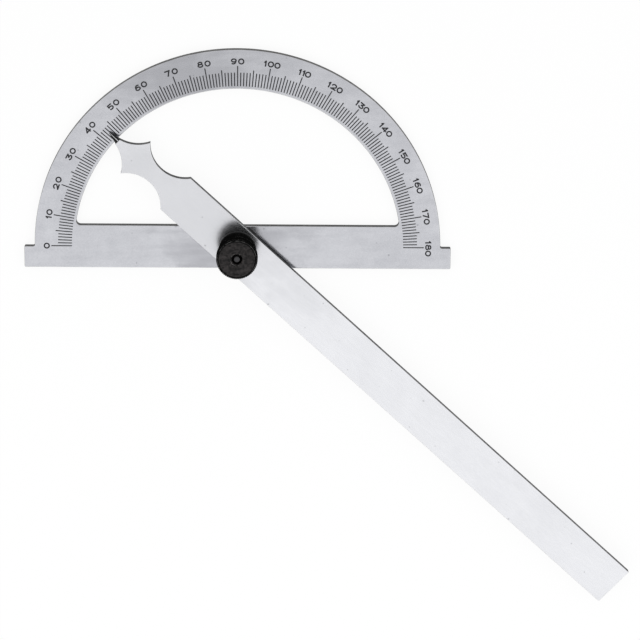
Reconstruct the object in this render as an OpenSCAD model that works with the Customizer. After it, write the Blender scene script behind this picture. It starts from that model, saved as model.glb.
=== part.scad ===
// Angle finder: a half-round dial plate with a straight base, and one arm that swings on it.
// Millimetres. The dial lies flat with its back on z = 0, its graduated face up.
// The origin is on the pivot's axis: +X along the base towards 180, +Y towards the arc.

/* [Dial plate] */
// Outer radius of the graduated arc
arc_r = 59.8; // [52:0.1:75]
// Width of the graduated ring, from the window to the outer edge
ring_w = 11.7; // [11:0.1:16]
// Thickness of the dial plate
plate_t = 2; // [1.6:0.1:3]
// Height of the base above the 0-180 line
base_above = 6.4; // [4.5:0.1:8]
// Depth of the base below the 0-180 line
base_below = 6.6; // [4.5:0.1:8]
// Length of each end tab beyond the arc
tab_out = 3.1; // [1:0.1:6]
// Drop of the end tabs' upper edges below the 0-180 line
tab_drop = 0.2; // [0.1:0.05:2]
// Corner radius inside the window
window_fillet = 1.3; // [0.8:0.1:3]
// Corner radius between an end tab and the arc
tab_fillet = 0.6; // [0.3:0.1:1.5]
// Corner radius of the base's four outer corners
base_corner = 0.35; // [0.1:0.05:1.5]

/* [Graduation] */
// Gap from the window's edge to the graduation lines
mark_gap = 0.75; // [0.3:0.05:1.5]
// Width of a graduation line
mark_w = 0.32; // [0.15:0.01:0.45]
// Length of a one-degree line
one_l = 4.1; // [2:0.1:4.6]
// Length of a five-degree line
five_l = 4.95; // [4.7:0.05:5.5]
// Length of a ten-degree line
ten_l = 6.1; // [5.6:0.1:6.3]
// Depth of the engraving and its black filling
mark_depth = 0.1; // [0.05:0.01:0.3]
// Gap from the ten-degree lines to the numbers
number_gap = 0.4; // [0.3:0.05:0.9]
// Height of the numbers
number_h = 1.85; // [1.6:0.05:2.2]
// Stroke width of the numbers
number_stroke = 0.42; // [0.2:0.01:0.46]
// Clear space between two digits of a number
digit_gap = 0.36; // [0.1:0.02:0.6]
// Clear space between the last two digits of a number above 99
close_gap = 0.08; // [0.06:0.02:0.6]
// How far the numbers above 99 stand clockwise of their lines
number_shift = 0.3; // [0:0.05:0.5]

/* [Arm] */
// Angle that the pointer reads on the dial
reading = 43; // [0:1:180]
// Width of the arm
arm_w = 13; // [10:0.1:16]
// Thickness of the arm
arm_t = 2; // [1.5:0.1:3]
// Distance from the pivot to the arm's far end
arm_reach = 156.4; // [90:0.2:200]
// How far the pointer's tip reaches over the one-degree lines
tip_lap = 2.35; // [0.5:0.05:3]
// Radius of the deep hollow on each side of the pointer head
hollow_r = 10.15; // [8:0.05:12]
// Width of the arm between the two deep hollows
waist_w = 5.2; // [3:0.1:7]
// Radius of the hollow on each side of the point
flank_r = 10.6; // [9:0.1:13]
// Width of the neck between the two point hollows
neck_w = 1.4; // [1:0.1:2.2]
// Distance from the tip back to the narrowest place of the neck
neck_back = 1.1; // [0.6:0.1:2]
// Distance that the four cusps stay inside the arm's width
cusp_inset = 0.1; // [0.05:0.05:0.6]
// Length of the bevelled point
point_l = 3.4; // [2:0.1:4.5]
// Width of the bevelled point at its root
point_w = 1.8; // [1.2:0.1:1.8]
// Width of the point at its tip
tip_w = 0.24; // [0.1:0.02:0.6]
// Thickness of the point at its tip
tip_t = 0.3; // [0.15:0.05:0.8]
// Step down from the arm's face to the bevel
point_step = 0.35; // [0.1:0.05:0.8]
// Slope of each side of the bevel, away from its ridge
ridge_angle = 22; // [5:1:35]

/* [Pivot and clamping nut] */
// Thickness of the spacer washer between the dial and the arm
spacer_t = 0.8; // [0.4:0.1:1.5]
// Diameter of the spacer washer
spacer_d = 13.4; // [9:0.1:15]
// Diameter of the stud's flush head, in the back of the dial
stud_head_d = 6.4; // [5:0.1:8]
// Thickness of the stud's flush head
stud_head_t = 0.9; // [0.5:0.1:1.2]
// Diameter of the stud's plain shoulder, which the arm turns on
shoulder_d = 4; // [3.6:0.1:4.6]
// How far the shoulder stays below the arm's face, so that the nut can clamp
shoulder_drop = 0.15; // [0.05:0.05:0.4]
// Diameter of the stud's thread
thread_d = 3; // [2.5:0.1:3.2]
// Length of the chamfer at the stud's free end
stud_chamfer = 0.7; // [0.3:0.1:1]
// How far the stud's end stays below the nut's face
stud_recess = 0.3; // [0.1:0.1:1.5]
// Diameter of the washer under the nut
nut_washer_d = 11; // [10:0.1:12.6]
// Thickness of the washer under the nut
nut_washer_t = 0.5; // [0.3:0.1:1]
// Height of the nut
nut_h = 9.6; // [7:0.1:12]
// Diameter of the nut's knurled head
head_d = 12.2; // [11:0.1:16]
// Height of the nut's knurled head
head_h = 3.8; // [3:0.1:5]
// Diameter of the nut's plain collar
collar_d = 10.4; // [9:0.1:10.8]
// Height of the groove between the collar and the head
groove_h = 0.5; // [0.3:0.1:1]
// Depth of the groove between the collar and the head
groove_deep = 0.4; // [0.2:0.1:0.8]
// Pitch of the knurling, around the head
knurl_pitch = 0.6; // [0.5:0.05:1]
// Depth of the knurling
knurl_depth = 0.2; // [0.1:0.02:0.3]
// Chamfer on the edges of the nut's head
head_chamfer = 0.4; // [0.3:0.05:0.6]
// Chamfer on the foot of the nut's collar
foot_chamfer = 0.25; // [0.1:0.05:0.5]
// Diameter of the countersink in the nut's face
countersink_d = 3.7; // [3.5:0.1:5]

/* [Fits] */
// Clearance around a part that turns or slides on another
run_gap = 0.05; // [0.02:0.01:0.1]
// Clearance around a part that is pressed home
press_gap = 0.02; // [0.01:0.01:0.03]
// Clearance between the nut's bore and the stud's thread
thread_gap = 0.04; // [0.02:0.01:0.08]
// Clearance between the nut washer and the stud's thread
washer_gap = 0.1; // [0.05:0.05:0.3]

/* [Hidden] */
$fn = 96;

// Overrun of a cut past the face that it breaks through
cut = 1;
// Last angle on the scale, and the spacing of its longer and its longest lines, in degrees
scale_end = 180;
five_step = 5;
ten_step = 10;
// Chords in a small corner, a digit's bend and a digit's bowl
corner_steps = 6;
bend_steps = 8;
bowl_steps = 20;
// How far a corner's rounding circle bites into both edges, as a share of its radius
bite_share = 0.03;

window_r = arc_r - ring_w;
mark_r = window_r + mark_gap;
number_r = mark_r + ten_l + number_gap + number_h / 2;
base_end = arc_r + tab_out;

spacer_z = plate_t;
arm_z = spacer_z + spacer_t;
nut_washer_z = arm_z + arm_t;
nut_z = nut_washer_z + nut_washer_t;
head_z = nut_z + nut_h - head_h;
stud_end_z = nut_z + nut_h - stud_recess;

tip_r = mark_r + tip_lap;
point_r = tip_r - point_l;
flank_y = neck_w / 2 + flank_r;
flank_x = tip_r - neck_back;
cusp_y = arm_w / 2 - cusp_inset;
cusp_x = flank_x - sqrt(flank_r ^ 2 - (flank_y - cusp_y) ^ 2);
hollow_y = waist_w / 2 + hollow_r;
hollow_x = cusp_x - sqrt(hollow_r ^ 2 - (hollow_y - cusp_y) ^ 2);

// Points of an elliptical arc about (cx, cy), from angle a0 to a1, in the given number of chords
function arc_points(cx, cy, rx, ry, a0, a1, steps) =
    [for (i = [0:steps]) let (a = a0 + (a1 - a0) * i / steps) [cx + rx * cos(a), cy + ry * sin(a)]];

function unit(v) = v / norm(v);
function side_of(v) = [-v.y, v.x];

// Unit direction of a path at point i: the mean of the runs before and after it
function run_at(path, i) =
    let (last = len(path) - 1,
         before = i > 0 ? unit(path[i] - path[i - 1]) : [0, 0],
         after = i < last ? unit(path[i + 1] - path[i]) : [0, 0])
    unit(before + after);

// Half width of a stroke at point i, longer at a bend so that both its edges stay parallel
function reach_at(path, i, half) =
    i == 0 || i == len(path) - 1 ? half : half / (run_at(path, i) * unit(path[i + 1] - path[i]));

// The path with both ends drawn out by the given length
function drawn_out(path, by) =
    let (last = len(path) - 1)
    [for (i = [0:last])
        path[i] + (i == 0 ? -by : i == last ? by : 0) * run_at(path, i)];

// Outline of a stroke of the given width along an open path, with square ends
function stroke_outline(path, width) =
    let (long = drawn_out(path, width / 2), last = len(path) - 1)
    concat([for (i = [0:last]) long[i] - side_of(run_at(long, i)) * reach_at(long, i, width / 2)],
           [for (i = [last:-1:0]) long[i] + side_of(run_at(long, i)) * reach_at(long, i, width / 2)]);

// Digits are drawn in a box one unit high, along the middle of each stroke
digit_width_share = [1, 0.24, 0.98, 0.9, 0.98, 0.92, 0.92, 0.9, 0.92, 0.92];
// Open strokes of each digit
digit_strokes_share = [
    [],
    [[[0.24, 0], [0.24, 1]], [[0.02, 0.78], [0.2, 0.96]]],
    [concat(arc_points(0.47, 0.65, 0.45, 0.35, 165, -38, bend_steps), [[0.12, 0.05]]), [[0, 0], [0.98, 0]]],
    [[[0, 1], [0.84, 1]], [[0.8, 0.95], [0.42, 0.57]],
     arc_points(0.44, 0.29, 0.46, 0.29, 100, -155, bend_steps)],
    [[[0.66, 0.94], [0.06, 0.26]], [[0, 0.22], [0.98, 0.22]], [[0.72, 0], [0.72, 1]]],
    [[[0.08, 1], [0.86, 1]], [[0.08, 0.94], [0.06, 0.54]],
     arc_points(0.45, 0.31, 0.47, 0.31, 126, -128, bend_steps)],
    [arc_points(0.58, 0.4, 0.54, 0.6, 66, 184, bend_steps)],
    [[[0, 1], [0.9, 1]], [[0.84, 0.94], [0.36, 0]]],
    [],
    [arc_points(0.34, 0.6, 0.54, 0.6, -114, 4, bend_steps)]
];
// Closed bowls of each digit: centre and half sizes
digit_bowls_share = [
    [], [], [], [], [], [],
    [[0.46, 0.3, 0.46, 0.3]],
    [],
    [[0.46, 0.77, 0.37, 0.23], [0.46, 0.27, 0.46, 0.27]],
    [[0.46, 0.7, 0.46, 0.3]]
];

// One digit, centred, in the plane
module digit(value) {
    line_h = number_h - number_stroke;
    translate([-digit_width_share[value] / 2 * line_h, -line_h / 2]) {
        if (value == 0)
            translate([line_h / 2, line_h / 2]) difference() {
                circle(d = number_h);
                circle(d = line_h - number_stroke);
            }
        for (path = digit_strokes_share[value])
            polygon(stroke_outline(path * line_h, number_stroke));
        for (bowl = digit_bowls_share[value])
            bowl_ring(bowl * line_h);
    }
}

// A closed oval stroke of a digit
module bowl_ring(bowl) {
    half = number_stroke / 2;
    outer = arc_points(bowl[0], bowl[1], bowl[2] + half, bowl[3] + half, 0, 360, bowl_steps);
    inner = arc_points(bowl[0], bowl[1], bowl[2] - half, bowl[3] - half, 0, 360, bowl_steps);
    polygon([for (i = [1:bowl_steps]) outer[i], for (i = [1:bowl_steps]) inner[i]],
            [[for (i = [0:bowl_steps - 1]) i], [for (i = [0:bowl_steps - 1]) bowl_steps + i]]);
}

// Puts its children on the dial at a scale angle, upright towards the rim
module at_angle(angle, r) {
    rotate(scale_end / 2 - angle) translate([0, r]) children();
}

function digits_of(value) =
    [for (place = [100, 10, 1]) if (value >= place || place == 1) floor(value / place) % 10];

// Sum of the widths of the first digits of a number, along the middle of their strokes
function span(digits, count) =
    count == 0
        ? 0
        : span(digits, count - 1) + digit_width_share[digits[count - 1]] * (number_h - number_stroke);

// One number of the scale, its digits following the arc and centred on its line. A number of three
// digits has its last two closer together, and stands a little clockwise
module number(value) {
    digits = digits_of(value);
    last = len(digits) - 1;
    closer = last == 2 ? digit_gap - close_gap : 0;
    shift = last == 2 ? number_shift : 0;
    pitch = digit_gap + number_stroke;
    full = span(digits, last + 1) + pitch * last - closer;
    for (i = [0:last]) {
        middle = (span(digits, i) + span(digits, i + 1)) / 2 + pitch * i
            - (i == last ? closer : 0) - full / 2 + shift;
        at_angle(value + middle / number_r * 180 / PI, number_r) digit(digits[i]);
    }
}

// Graduation lines of one length at the given angles
module lines(angles, length) {
    for (angle = angles)
        at_angle(angle, mark_r) translate([-mark_w / 2, 0]) square([mark_w, length]);
}

module one_lines() {
    lines([for (angle = [0:scale_end]) if (angle % five_step != 0) angle], one_l);
}

module five_lines() {
    lines([five_step:ten_step:scale_end], five_l);
}

module ten_lines() {
    lines([0:ten_step:scale_end], ten_l);
}

module number_row() {
    for (value = [0:ten_step:scale_end])
        number(value);
}

// Black filling of an engraved pattern, flush with the dial's face
module filling() {
    color("dimgray") translate([0, 0, plate_t - mark_depth]) linear_extrude(mark_depth) children();
}

// Metal left in a corner between a round wall about the origin and a straight edge at height y.
// Side is 1 where the open side lies outside the wall, and -1 where it lies inside.
function corner_metal(wall_r, y, fillet, side) =
    let (off = fillet * (1 - bite_share),
         out = wall_r + side * off,
         centre = [sqrt(out ^ 2 - (y + off) ^ 2), y + off],
         on_wall = centre - side * fillet * unit(centre),
         wall_angle = atan2(-side * centre.y, -side * centre.x) + (side > 0 ? 360 : 0),
         edge_angle = side > 0 ? 270 : -90,
         points = concat(
             arc_points(centre.x, centre.y, fillet, fillet, wall_angle, edge_angle, corner_steps),
             [[centre.x, y - fillet], [on_wall.x - side * fillet, y - fillet],
              on_wall - side * fillet * unit(centre)]))
    side > 0 ? turned(points) : points;

function turned(points) = [for (i = [len(points) - 1:-1:0]) points[i]];

// An outline and its mirror image across the Y axis
module both_sides(points) {
    polygon(points);
    polygon([for (point = turned(points)) [-point.x, point.y]]);
}

// Outline of the base with its two end tabs
module base_outline() {
    top = -tab_drop - base_corner;
    right = base_end - base_corner;
    foot = -base_below + base_corner;
    polygon(concat(arc_points(right, top, base_corner, base_corner, 0, 90, corner_steps),
                   arc_points(-right, top, base_corner, base_corner, 90, 180, corner_steps),
                   arc_points(-right, foot, base_corner, base_corner, 180, 270, corner_steps),
                   arc_points(right, foot, base_corner, base_corner, 270, 360, corner_steps)));
}

// The D-shaped dial with its open window
module plate_outline() {
    difference() {
        union() {
            base_outline();
            intersection() {
                circle(arc_r);
                translate([-base_end, -base_below / 2]) square([2 * base_end, arc_r + base_below]);
            }
        }
        intersection() {
            circle(window_r);
            translate([-arc_r, base_above]) square([2 * arc_r, arc_r]);
        }
    }
    both_sides(corner_metal(window_r, base_above, window_fillet, -1));
    both_sides(corner_metal(arc_r, -tab_drop, tab_fillet, 1));
}

module protractor_plate() {
    color("lightgray") difference() {
        linear_extrude(plate_t) plate_outline();
        translate([0, 0, -cut]) cylinder(d = shoulder_d + 2 * press_gap, h = plate_t + 2 * cut);
        translate([0, 0, -cut]) cylinder(d = stud_head_d + 2 * press_gap, h = stud_head_t + cut);
        translate([0, 0, plate_t - mark_depth]) linear_extrude(mark_depth + cut) {
            one_lines();
            five_lines();
            ten_lines();
            number_row();
        }
    }
}

module degree_marks() {
    filling() one_lines();
}

module five_degree_marks() {
    filling() five_lines();
}

module ten_degree_marks() {
    filling() ten_lines();
}

module numbers() {
    filling() number_row();
}

// Stud pressed into the dial from behind, with a flush head, a plain shoulder and a thread
module pivot_stud() {
    shoulder_top = nut_washer_z - shoulder_drop;
    thread_r = thread_d / 2;
    color("darkgray") rotate_extrude() polygon([
        [0, 0], [stud_head_d / 2, 0], [stud_head_d / 2, stud_head_t], [shoulder_d / 2, stud_head_t],
        [shoulder_d / 2, shoulder_top], [thread_r, shoulder_top], [thread_r, stud_end_z - stud_chamfer],
        [thread_r - stud_chamfer, stud_end_z], [0, stud_end_z]
    ]);
}

module washer(outer_d, inner_d, t) {
    difference() {
        cylinder(d = outer_d, h = t);
        translate([0, 0, -cut]) cylinder(d = inner_d, h = t + 2 * cut);
    }
}

module spacer_washer() {
    color("black") translate([0, 0, spacer_z]) washer(spacer_d, shoulder_d + 2 * run_gap, spacer_t);
}

module nut_washer() {
    color("black") translate([0, 0, nut_washer_z])
        washer(nut_washer_d, thread_d + 2 * washer_gap, nut_washer_t);
}

// The arm's outline, with its pointer along +X
module arm_outline() {
    side = arm_w / 2;
    difference() {
        translate([-arm_reach, -side]) square([arm_reach + tip_r, arm_w]);
        both_edges() translate([hollow_x, hollow_y]) circle(hollow_r);
        both_edges() translate([flank_x, flank_y]) circle(flank_r);
        both_edges() polygon([
            [point_r, point_w / 2], [tip_r, tip_w / 2], [tip_r + cut, tip_w / 2],
            [tip_r + cut, side + cut], [point_r, side + cut]
        ]);
    }
}

module both_edges() {
    children();
    mirror([0, 1]) children();
}

// What lies above one side of the bevel and its run past the ridge, which slopes down to the tip
module bevel_cut() {
    slope = atan2(arm_t - point_step - tip_t, point_l);
    translate([point_r, 0, arm_t - point_step])
        rotate([0, slope, 0])
            rotate([-ridge_angle, 0, 0])
                translate([-arm_t, -arm_w / 2, 0]) cube([point_l + 2 * arm_t, arm_w, arm_t + cut]);
}

module swing_arm() {
    color("gainsboro") translate([0, 0, arm_z]) rotate(scale_end - reading) difference() {
        linear_extrude(arm_t) arm_outline();
        translate([0, 0, -cut]) cylinder(d = shoulder_d + 2 * run_gap, h = arm_t + 2 * cut);
        intersection() {
            translate([point_r, -arm_w / 2, 0]) cube([point_l + cut, arm_w, arm_t + cut]);
            union() {
                bevel_cut();
                mirror([0, 1, 0]) bevel_cut();
            }
        }
    }
}

// Straight knurling: a toothed outline around the nut's head
module knurl_outline() {
    teeth = round(PI * head_d / knurl_pitch);
    polygon([for (i = [0:2 * teeth - 1])
        (head_d / 2 - (i % 2) * knurl_depth) * [cos(i * 180 / teeth), sin(i * 180 / teeth)]]);
}

module knurled_head() {
    r = head_d / 2;
    intersection() {
        linear_extrude(head_h) knurl_outline();
        rotate_extrude() polygon([
            [0, 0], [r - head_chamfer, 0], [r + head_chamfer, 2 * head_chamfer],
            [r + head_chamfer, head_h - 2 * head_chamfer], [r - head_chamfer, head_h], [0, head_h]
        ]);
    }
}

module knurled_nut() {
    collar_r = collar_d / 2;
    collar_top = head_z - nut_z - groove_h;
    neck_r = collar_r - groove_deep;
    rim = (countersink_d - thread_d) / 2 - thread_gap;
    color("black") translate([0, 0, nut_z]) difference() {
        union() {
            rotate_extrude() polygon([
                [0, 0], [collar_r - foot_chamfer, 0], [collar_r, foot_chamfer], [collar_r, collar_top],
                [neck_r, collar_top], [neck_r, nut_h - head_h / 2], [0, nut_h - head_h / 2]
            ]);
            translate([0, 0, nut_h - head_h]) knurled_head();
        }
        translate([0, 0, -cut]) cylinder(d = thread_d + 2 * thread_gap, h = nut_h + 2 * cut);
        translate([0, 0, nut_h - rim])
            cylinder(r1 = thread_d / 2 + thread_gap, r2 = countersink_d / 2 + cut, h = rim + cut);
    }
}

protractor_plate();
degree_marks();
five_degree_marks();
ten_degree_marks();
numbers();
pivot_stud();
spacer_washer();
swing_arm();
nut_washer();
knurled_nut();
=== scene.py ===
"""Looks of the angle finder: a steel dial plate with a black-filled scale, a steel arm that swings
on it, and the black knurled nut that clamps the arm. Lengths are in metres, in the CAD's frame."""

import math
from functools import reduce

import bpy
from mathutils import Matrix, Vector
from mathutils.geometry import delaunay_2d_cdt


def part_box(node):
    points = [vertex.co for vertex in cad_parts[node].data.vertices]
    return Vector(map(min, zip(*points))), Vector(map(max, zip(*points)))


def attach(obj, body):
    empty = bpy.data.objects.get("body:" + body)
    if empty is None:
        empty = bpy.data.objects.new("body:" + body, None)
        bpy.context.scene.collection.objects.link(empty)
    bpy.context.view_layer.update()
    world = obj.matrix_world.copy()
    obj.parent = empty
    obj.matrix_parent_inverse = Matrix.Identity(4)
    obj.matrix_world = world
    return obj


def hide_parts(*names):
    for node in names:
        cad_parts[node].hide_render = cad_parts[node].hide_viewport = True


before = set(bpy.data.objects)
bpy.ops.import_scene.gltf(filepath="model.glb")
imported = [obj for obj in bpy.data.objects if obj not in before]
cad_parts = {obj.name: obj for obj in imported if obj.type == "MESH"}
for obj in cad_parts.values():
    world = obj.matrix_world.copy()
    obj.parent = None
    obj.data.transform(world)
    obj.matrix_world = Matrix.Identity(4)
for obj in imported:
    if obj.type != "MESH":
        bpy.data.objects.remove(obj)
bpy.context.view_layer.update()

bl_info = {
    "name": "Angle Finder",
    "version": (1, 0, 0),
    "blender": (4, 5, 0),
    "location": "View3D > Sidebar > Angle Finder",
    "description": "Makes the dial plate, its filled scale, the arm, the stud, the washers and the nut",
    "category": "Object",
}

MM = 0.001
# Width of the narrow flat band beside a rounded edge, which keeps the shading of the flat face flat
BAND = 0.02 * MM
# Two strips that meet at a smaller angle than this are shaded as one smooth surface
SMOOTH_ANGLE = math.radians(35)
# Points of an outline that are nearer than this are one point
SAME_POINT = 1e-7
# Points of a mesh are one point if they agree to one part of so many in a metre
WELD_PARTS = 1e8
# How many straight runs draw a rounding along an edge, a corner in plan, and a bore
ROUNDING_RUNS, CORNER_RUNS, BORE_RUNS = 4, 6, 64

plate_low, plate_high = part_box("protractor_plate")
arm_low, arm_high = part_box("swing_arm")
spacer_low, spacer_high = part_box("spacer_washer")
stud_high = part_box("pivot_stud")[1]
nut_washer_low, nut_washer_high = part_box("nut_washer")
nut_low, nut_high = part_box("knurled_nut")


def number(name, description, default, **more):
    return bpy.props.FloatProperty(name=name, description=description, default=default, **more)


def length(name, description, default):
    """A length, whose default is given in millimetres"""
    return number(name, description, default * MM, unit="LENGTH", precision=5, min=0)


def share(name, description, default):
    return number(name, description, default, subtype="FACTOR", min=0, max=1)


def level(name, description, default):
    return number(name, description, default, min=0)


def turn(name, description, default):
    """An angle, whose default is given in degrees"""
    return number(name, description, math.radians(default), subtype="ANGLE")


def colour(name, description, *default):
    return bpy.props.FloatVectorProperty(name=name, description=description, default=(*default, 1), size=4,
                                         subtype="COLOR", min=0, max=1)


class DialSettings(bpy.types.PropertyGroup):
    """Sizes and colours of the dial plate"""
    arc_radius: length("Arc radius", "Outer radius of the graduated arc", plate_high.y / MM)
    ring_width: length("Ring width", "Width of the graduated ring", 11.7)
    base_above: length("Base above", "Height of the base above the 0-180 line", 6.4)
    tab_drop: length("Tab drop", "Drop of the end tabs below the 0-180 line", 0.2)
    window_fillet: length("Window fillet", "Corner radius inside the window", 1.3)
    tab_fillet: length("Tab fillet", "Corner radius between an end tab and the arc", 0.6)
    base_corner: length("Base corner", "Corner radius of the base's four outer corners", 0.35)
    edge_radius: length("Edge radius", "Rounding along the plate's edges", 0.2)
    bore: length("Bore", "Diameter of the hole for the stud's shoulder", 4.04)
    recess: length("Recess", "Diameter of the recess for the stud's head", 6.44)
    recess_depth: length("Recess depth", "Depth of the recess for the stud's head", 0.9)
    steel: colour("Steel", "Colour of the satin face", 0.502, 0.507, 0.534)
    steel_dark: colour("Steel, dark", "Colour of the darker clouds on the face", 0.402, 0.407, 0.434)
    # Painted shade: darker steel for the patch on the ring and the patch around the pivot
    steel_dull: colour("Steel, dull", "Colour of the dull patch", 0.33, 0.333, 0.355)
    # Painted highlight, partly real wear: brighter steel on the rounded edges
    steel_edge: colour("Bright edge", "Colour of the worn edge", 0.66, 0.66, 0.68)
    # Side walls, near black: partly a darker cut finish, partly painted shade; darker near the base and
    # paler beside the face as painted shade
    cut_edge: colour("Cut edge", "Colour of the cut side walls", 0.062, 0.061, 0.058)
    cut_edge_dark: colour("Cut edge, dark", "Colour of the side walls near the base", 0.03, 0.03, 0.03)
    cut_edge_top: colour("Cut edge, top", "Colour of the side walls beside the face", 0.07, 0.069, 0.066)
    roughness: share("Roughness", "Roughness of the satin face", 0.21)
    # Two patches of painted shade: one on the ring at this scale angle, for a darker reflection there, and
    # one around the pivot, where the arm and nut shade the dial
    patch_angle: turn("Dull patch", "Scale angle of the dull patch that wiping has left", 73)
    patch_width: length("Patch width", "Width of the dull patch", 44)
    film_width: length("Film width", "Width of the dull film around the pivot", 44)


class ScaleSettings(bpy.types.PropertyGroup):
    """Sizes and colour of the scale"""
    mark_gap: length("Line gap", "Gap from the window's edge to the lines", 0.75)
    mark_width: length("Line width", "Width of a graduation line", 0.32)
    one_length: length("One-degree line", "Length of a one-degree line", 4.1)
    five_length: length("Five-degree line", "Length of a five-degree line", 4.95)
    ten_length: length("Ten-degree line", "Length of a ten-degree line", 6.1)
    depth: length("Engraving depth", "Depth of the engraved lines and numbers", 0.1)
    sink: length("Filling sink", "How far the filling stays below the face", 0.015)
    number_gap: length("Number gap", "Gap from the ten-degree lines to the numbers", 0.4)
    number_height: length("Number height", "Height of the numbers", 1.85)
    stroke: length("Number stroke", "Stroke width of the numbers", 0.42)
    digit_gap: length("Digit gap", "Clear space between two digits", 0.36)
    close_gap: length("Close gap", "Clear space between the last two of three digits", 0.08)
    number_shift: length("Number shift", "How far three digits stand clockwise of their line", 0.3)
    filling: colour("Filling", "Colour of the filling", 0.012, 0.012, 0.014)


class ArmSettings(bpy.types.PropertyGroup):
    """Sizes and colours of the arm"""
    reading: turn("Reading", "Angle that the pointer reads on the dial", 43)
    width: length("Width", "Width of the arm", 13)
    reach: length("Reach", "Distance from the pivot to the arm's far end", 156.4)
    tip: length("Tip", "Distance from the pivot to the pointer's tip", 51.2)
    hollow_radius: length("Hollow radius", "Radius of the deep hollows", 10.15)
    waist: length("Waist", "Width between the deep hollows", 5.2)
    flank_radius: length("Flank radius", "Radius of the hollows beside the point", 10.6)
    neck: length("Neck", "Width between the hollows beside the point", 1.4)
    neck_back: length("Neck back", "Distance from the tip back to the neck", 1.1)
    cusp_inset: length("Cusp inset", "Distance that the cusps stay inside the width", 0.1)
    point_length: length("Point length", "Length of the bevelled point", 3.4)
    point_width: length("Point width", "Width of the bevelled point at its root", 1.8)
    tip_width: length("Tip width", "Width of the point at its tip", 0.24)
    tip_thickness: length("Tip thickness", "Thickness of the point at its tip", 0.3)
    point_step: length("Point step", "Step down from the face to the bevel", 0.35)
    ridge: turn("Ridge angle", "Slope of each side of the bevel", 22)
    crest: length("Crest", "Width of the flat along the bevel's ridge", 0.24)
    crest_shift: length("Crest shift", "How far that flat lies off the middle, towards 180", 0.22)
    end_corner: length("End corner", "Corner radius of the far end", 0.15)
    edge_radius: length("Edge radius", "Rounding along the arm's edges", 0.12)
    bore: length("Bore", "Diameter of the hole for the stud's shoulder", 4.1)
    steel: colour("Steel", "Colour of the satin face", 0.665, 0.67, 0.692)
    steel_dark: colour("Steel, dark", "Colour of the darker clouds on the face", 0.6, 0.605, 0.628)
    # Painted shade: darker steel over the head, standing in for the darker reflection there
    steel_dull: colour("Steel, dull", "Colour of the handled head", 0.52, 0.524, 0.546)
    handled_at: length("Handled at", "Distance from the pivot to the middle of the handled head", 22)
    handled_width: length("Handled width", "Width of the handled head", 96)
    # Painted highlight, partly real wear: brighter steel on the rounded edges
    steel_edge: colour("Bright edge", "Colour of the worn edge", 0.8, 0.8, 0.82)
    # Side walls, near black: partly a darker cut finish, partly painted shade; darker along the head and
    # paler beside the face as painted shade
    cut_edge: colour("Cut edge", "Colour of the cut side walls", 0.035, 0.035, 0.035)
    cut_edge_dark: colour("Cut edge, dark", "Colour of the side walls of the head", 0.015, 0.015, 0.015)
    cut_edge_top: colour("Cut edge, top", "Colour of the side walls beside the face", 0.045, 0.045, 0.045)
    roughness: share("Roughness", "Roughness of the satin face", 0.225)


class ClampSettings(bpy.types.PropertyGroup):
    """Sizes and colours of the stud, the washers and the nut"""
    shoulder: length("Shoulder", "Diameter of the stud's plain shoulder", 4)
    shoulder_drop: length("Shoulder drop", "How far the shoulder stays below the arm's face", 0.15)
    head_thickness: length("Stud head", "Thickness of the stud's flush head", 0.9)
    thread: length("Thread", "Outer diameter of the stud's thread", 3)
    thread_pitch: length("Thread pitch", "Pitch of the stud's thread", 0.5)
    thread_depth: length("Thread depth", "Depth of the stud's thread", 0.3)
    stud_chamfer: length("Stud chamfer", "Chamfer at the stud's free end", 0.7)
    spacer_bore: length("Spacer bore", "Bore of the spacer washer", 4.1)
    washer_bore: length("Washer bore", "Bore of the washer under the nut", 3.2)
    nut_bore: length("Nut bore", "Bore of the nut", 3.08)
    head_height: length("Nut head", "Height of the nut's knurled head", 3.8)
    collar: length("Collar", "Diameter of the nut's plain collar", 10.4)
    groove: length("Groove", "Height of the groove under the head", 0.5)
    groove_depth: length("Groove depth", "Depth of the groove under the head", 0.4)
    knurl_pitch: length("Knurl pitch", "Pitch of the knurling", 0.6)
    knurl_depth: length("Knurl depth", "Depth of the knurling", 0.2)
    head_chamfer: length("Head chamfer", "Chamfer on the nut's head", 0.4)
    foot_chamfer: length("Foot chamfer", "Chamfer on the collar's foot", 0.25)
    countersink: length("Countersink", "Diameter of the countersink in the nut's face", 3.7)
    black: colour("Black finish", "Colour of the nut", 0.003, 0.003, 0.003)
    brown: colour("Brown film", "Colour of the worn, oily film on the nut's face", 0.036, 0.032, 0.032)
    side_film: colour("Side film", "Colour of the film on the nut's sides", 0.006, 0.006, 0.006)
    # Painted highlight, partly real wear: lighter rubbed knurls and edges of the nut
    worn: colour("Worn black", "Colour of the nut's rubbed edges", 0.22, 0.218, 0.215)
    washer: colour("Washer", "Colour of the two washers", 0.006, 0.006, 0.006)
    stud: colour("Stud", "Colour of the stud", 0.052, 0.052, 0.054)


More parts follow.
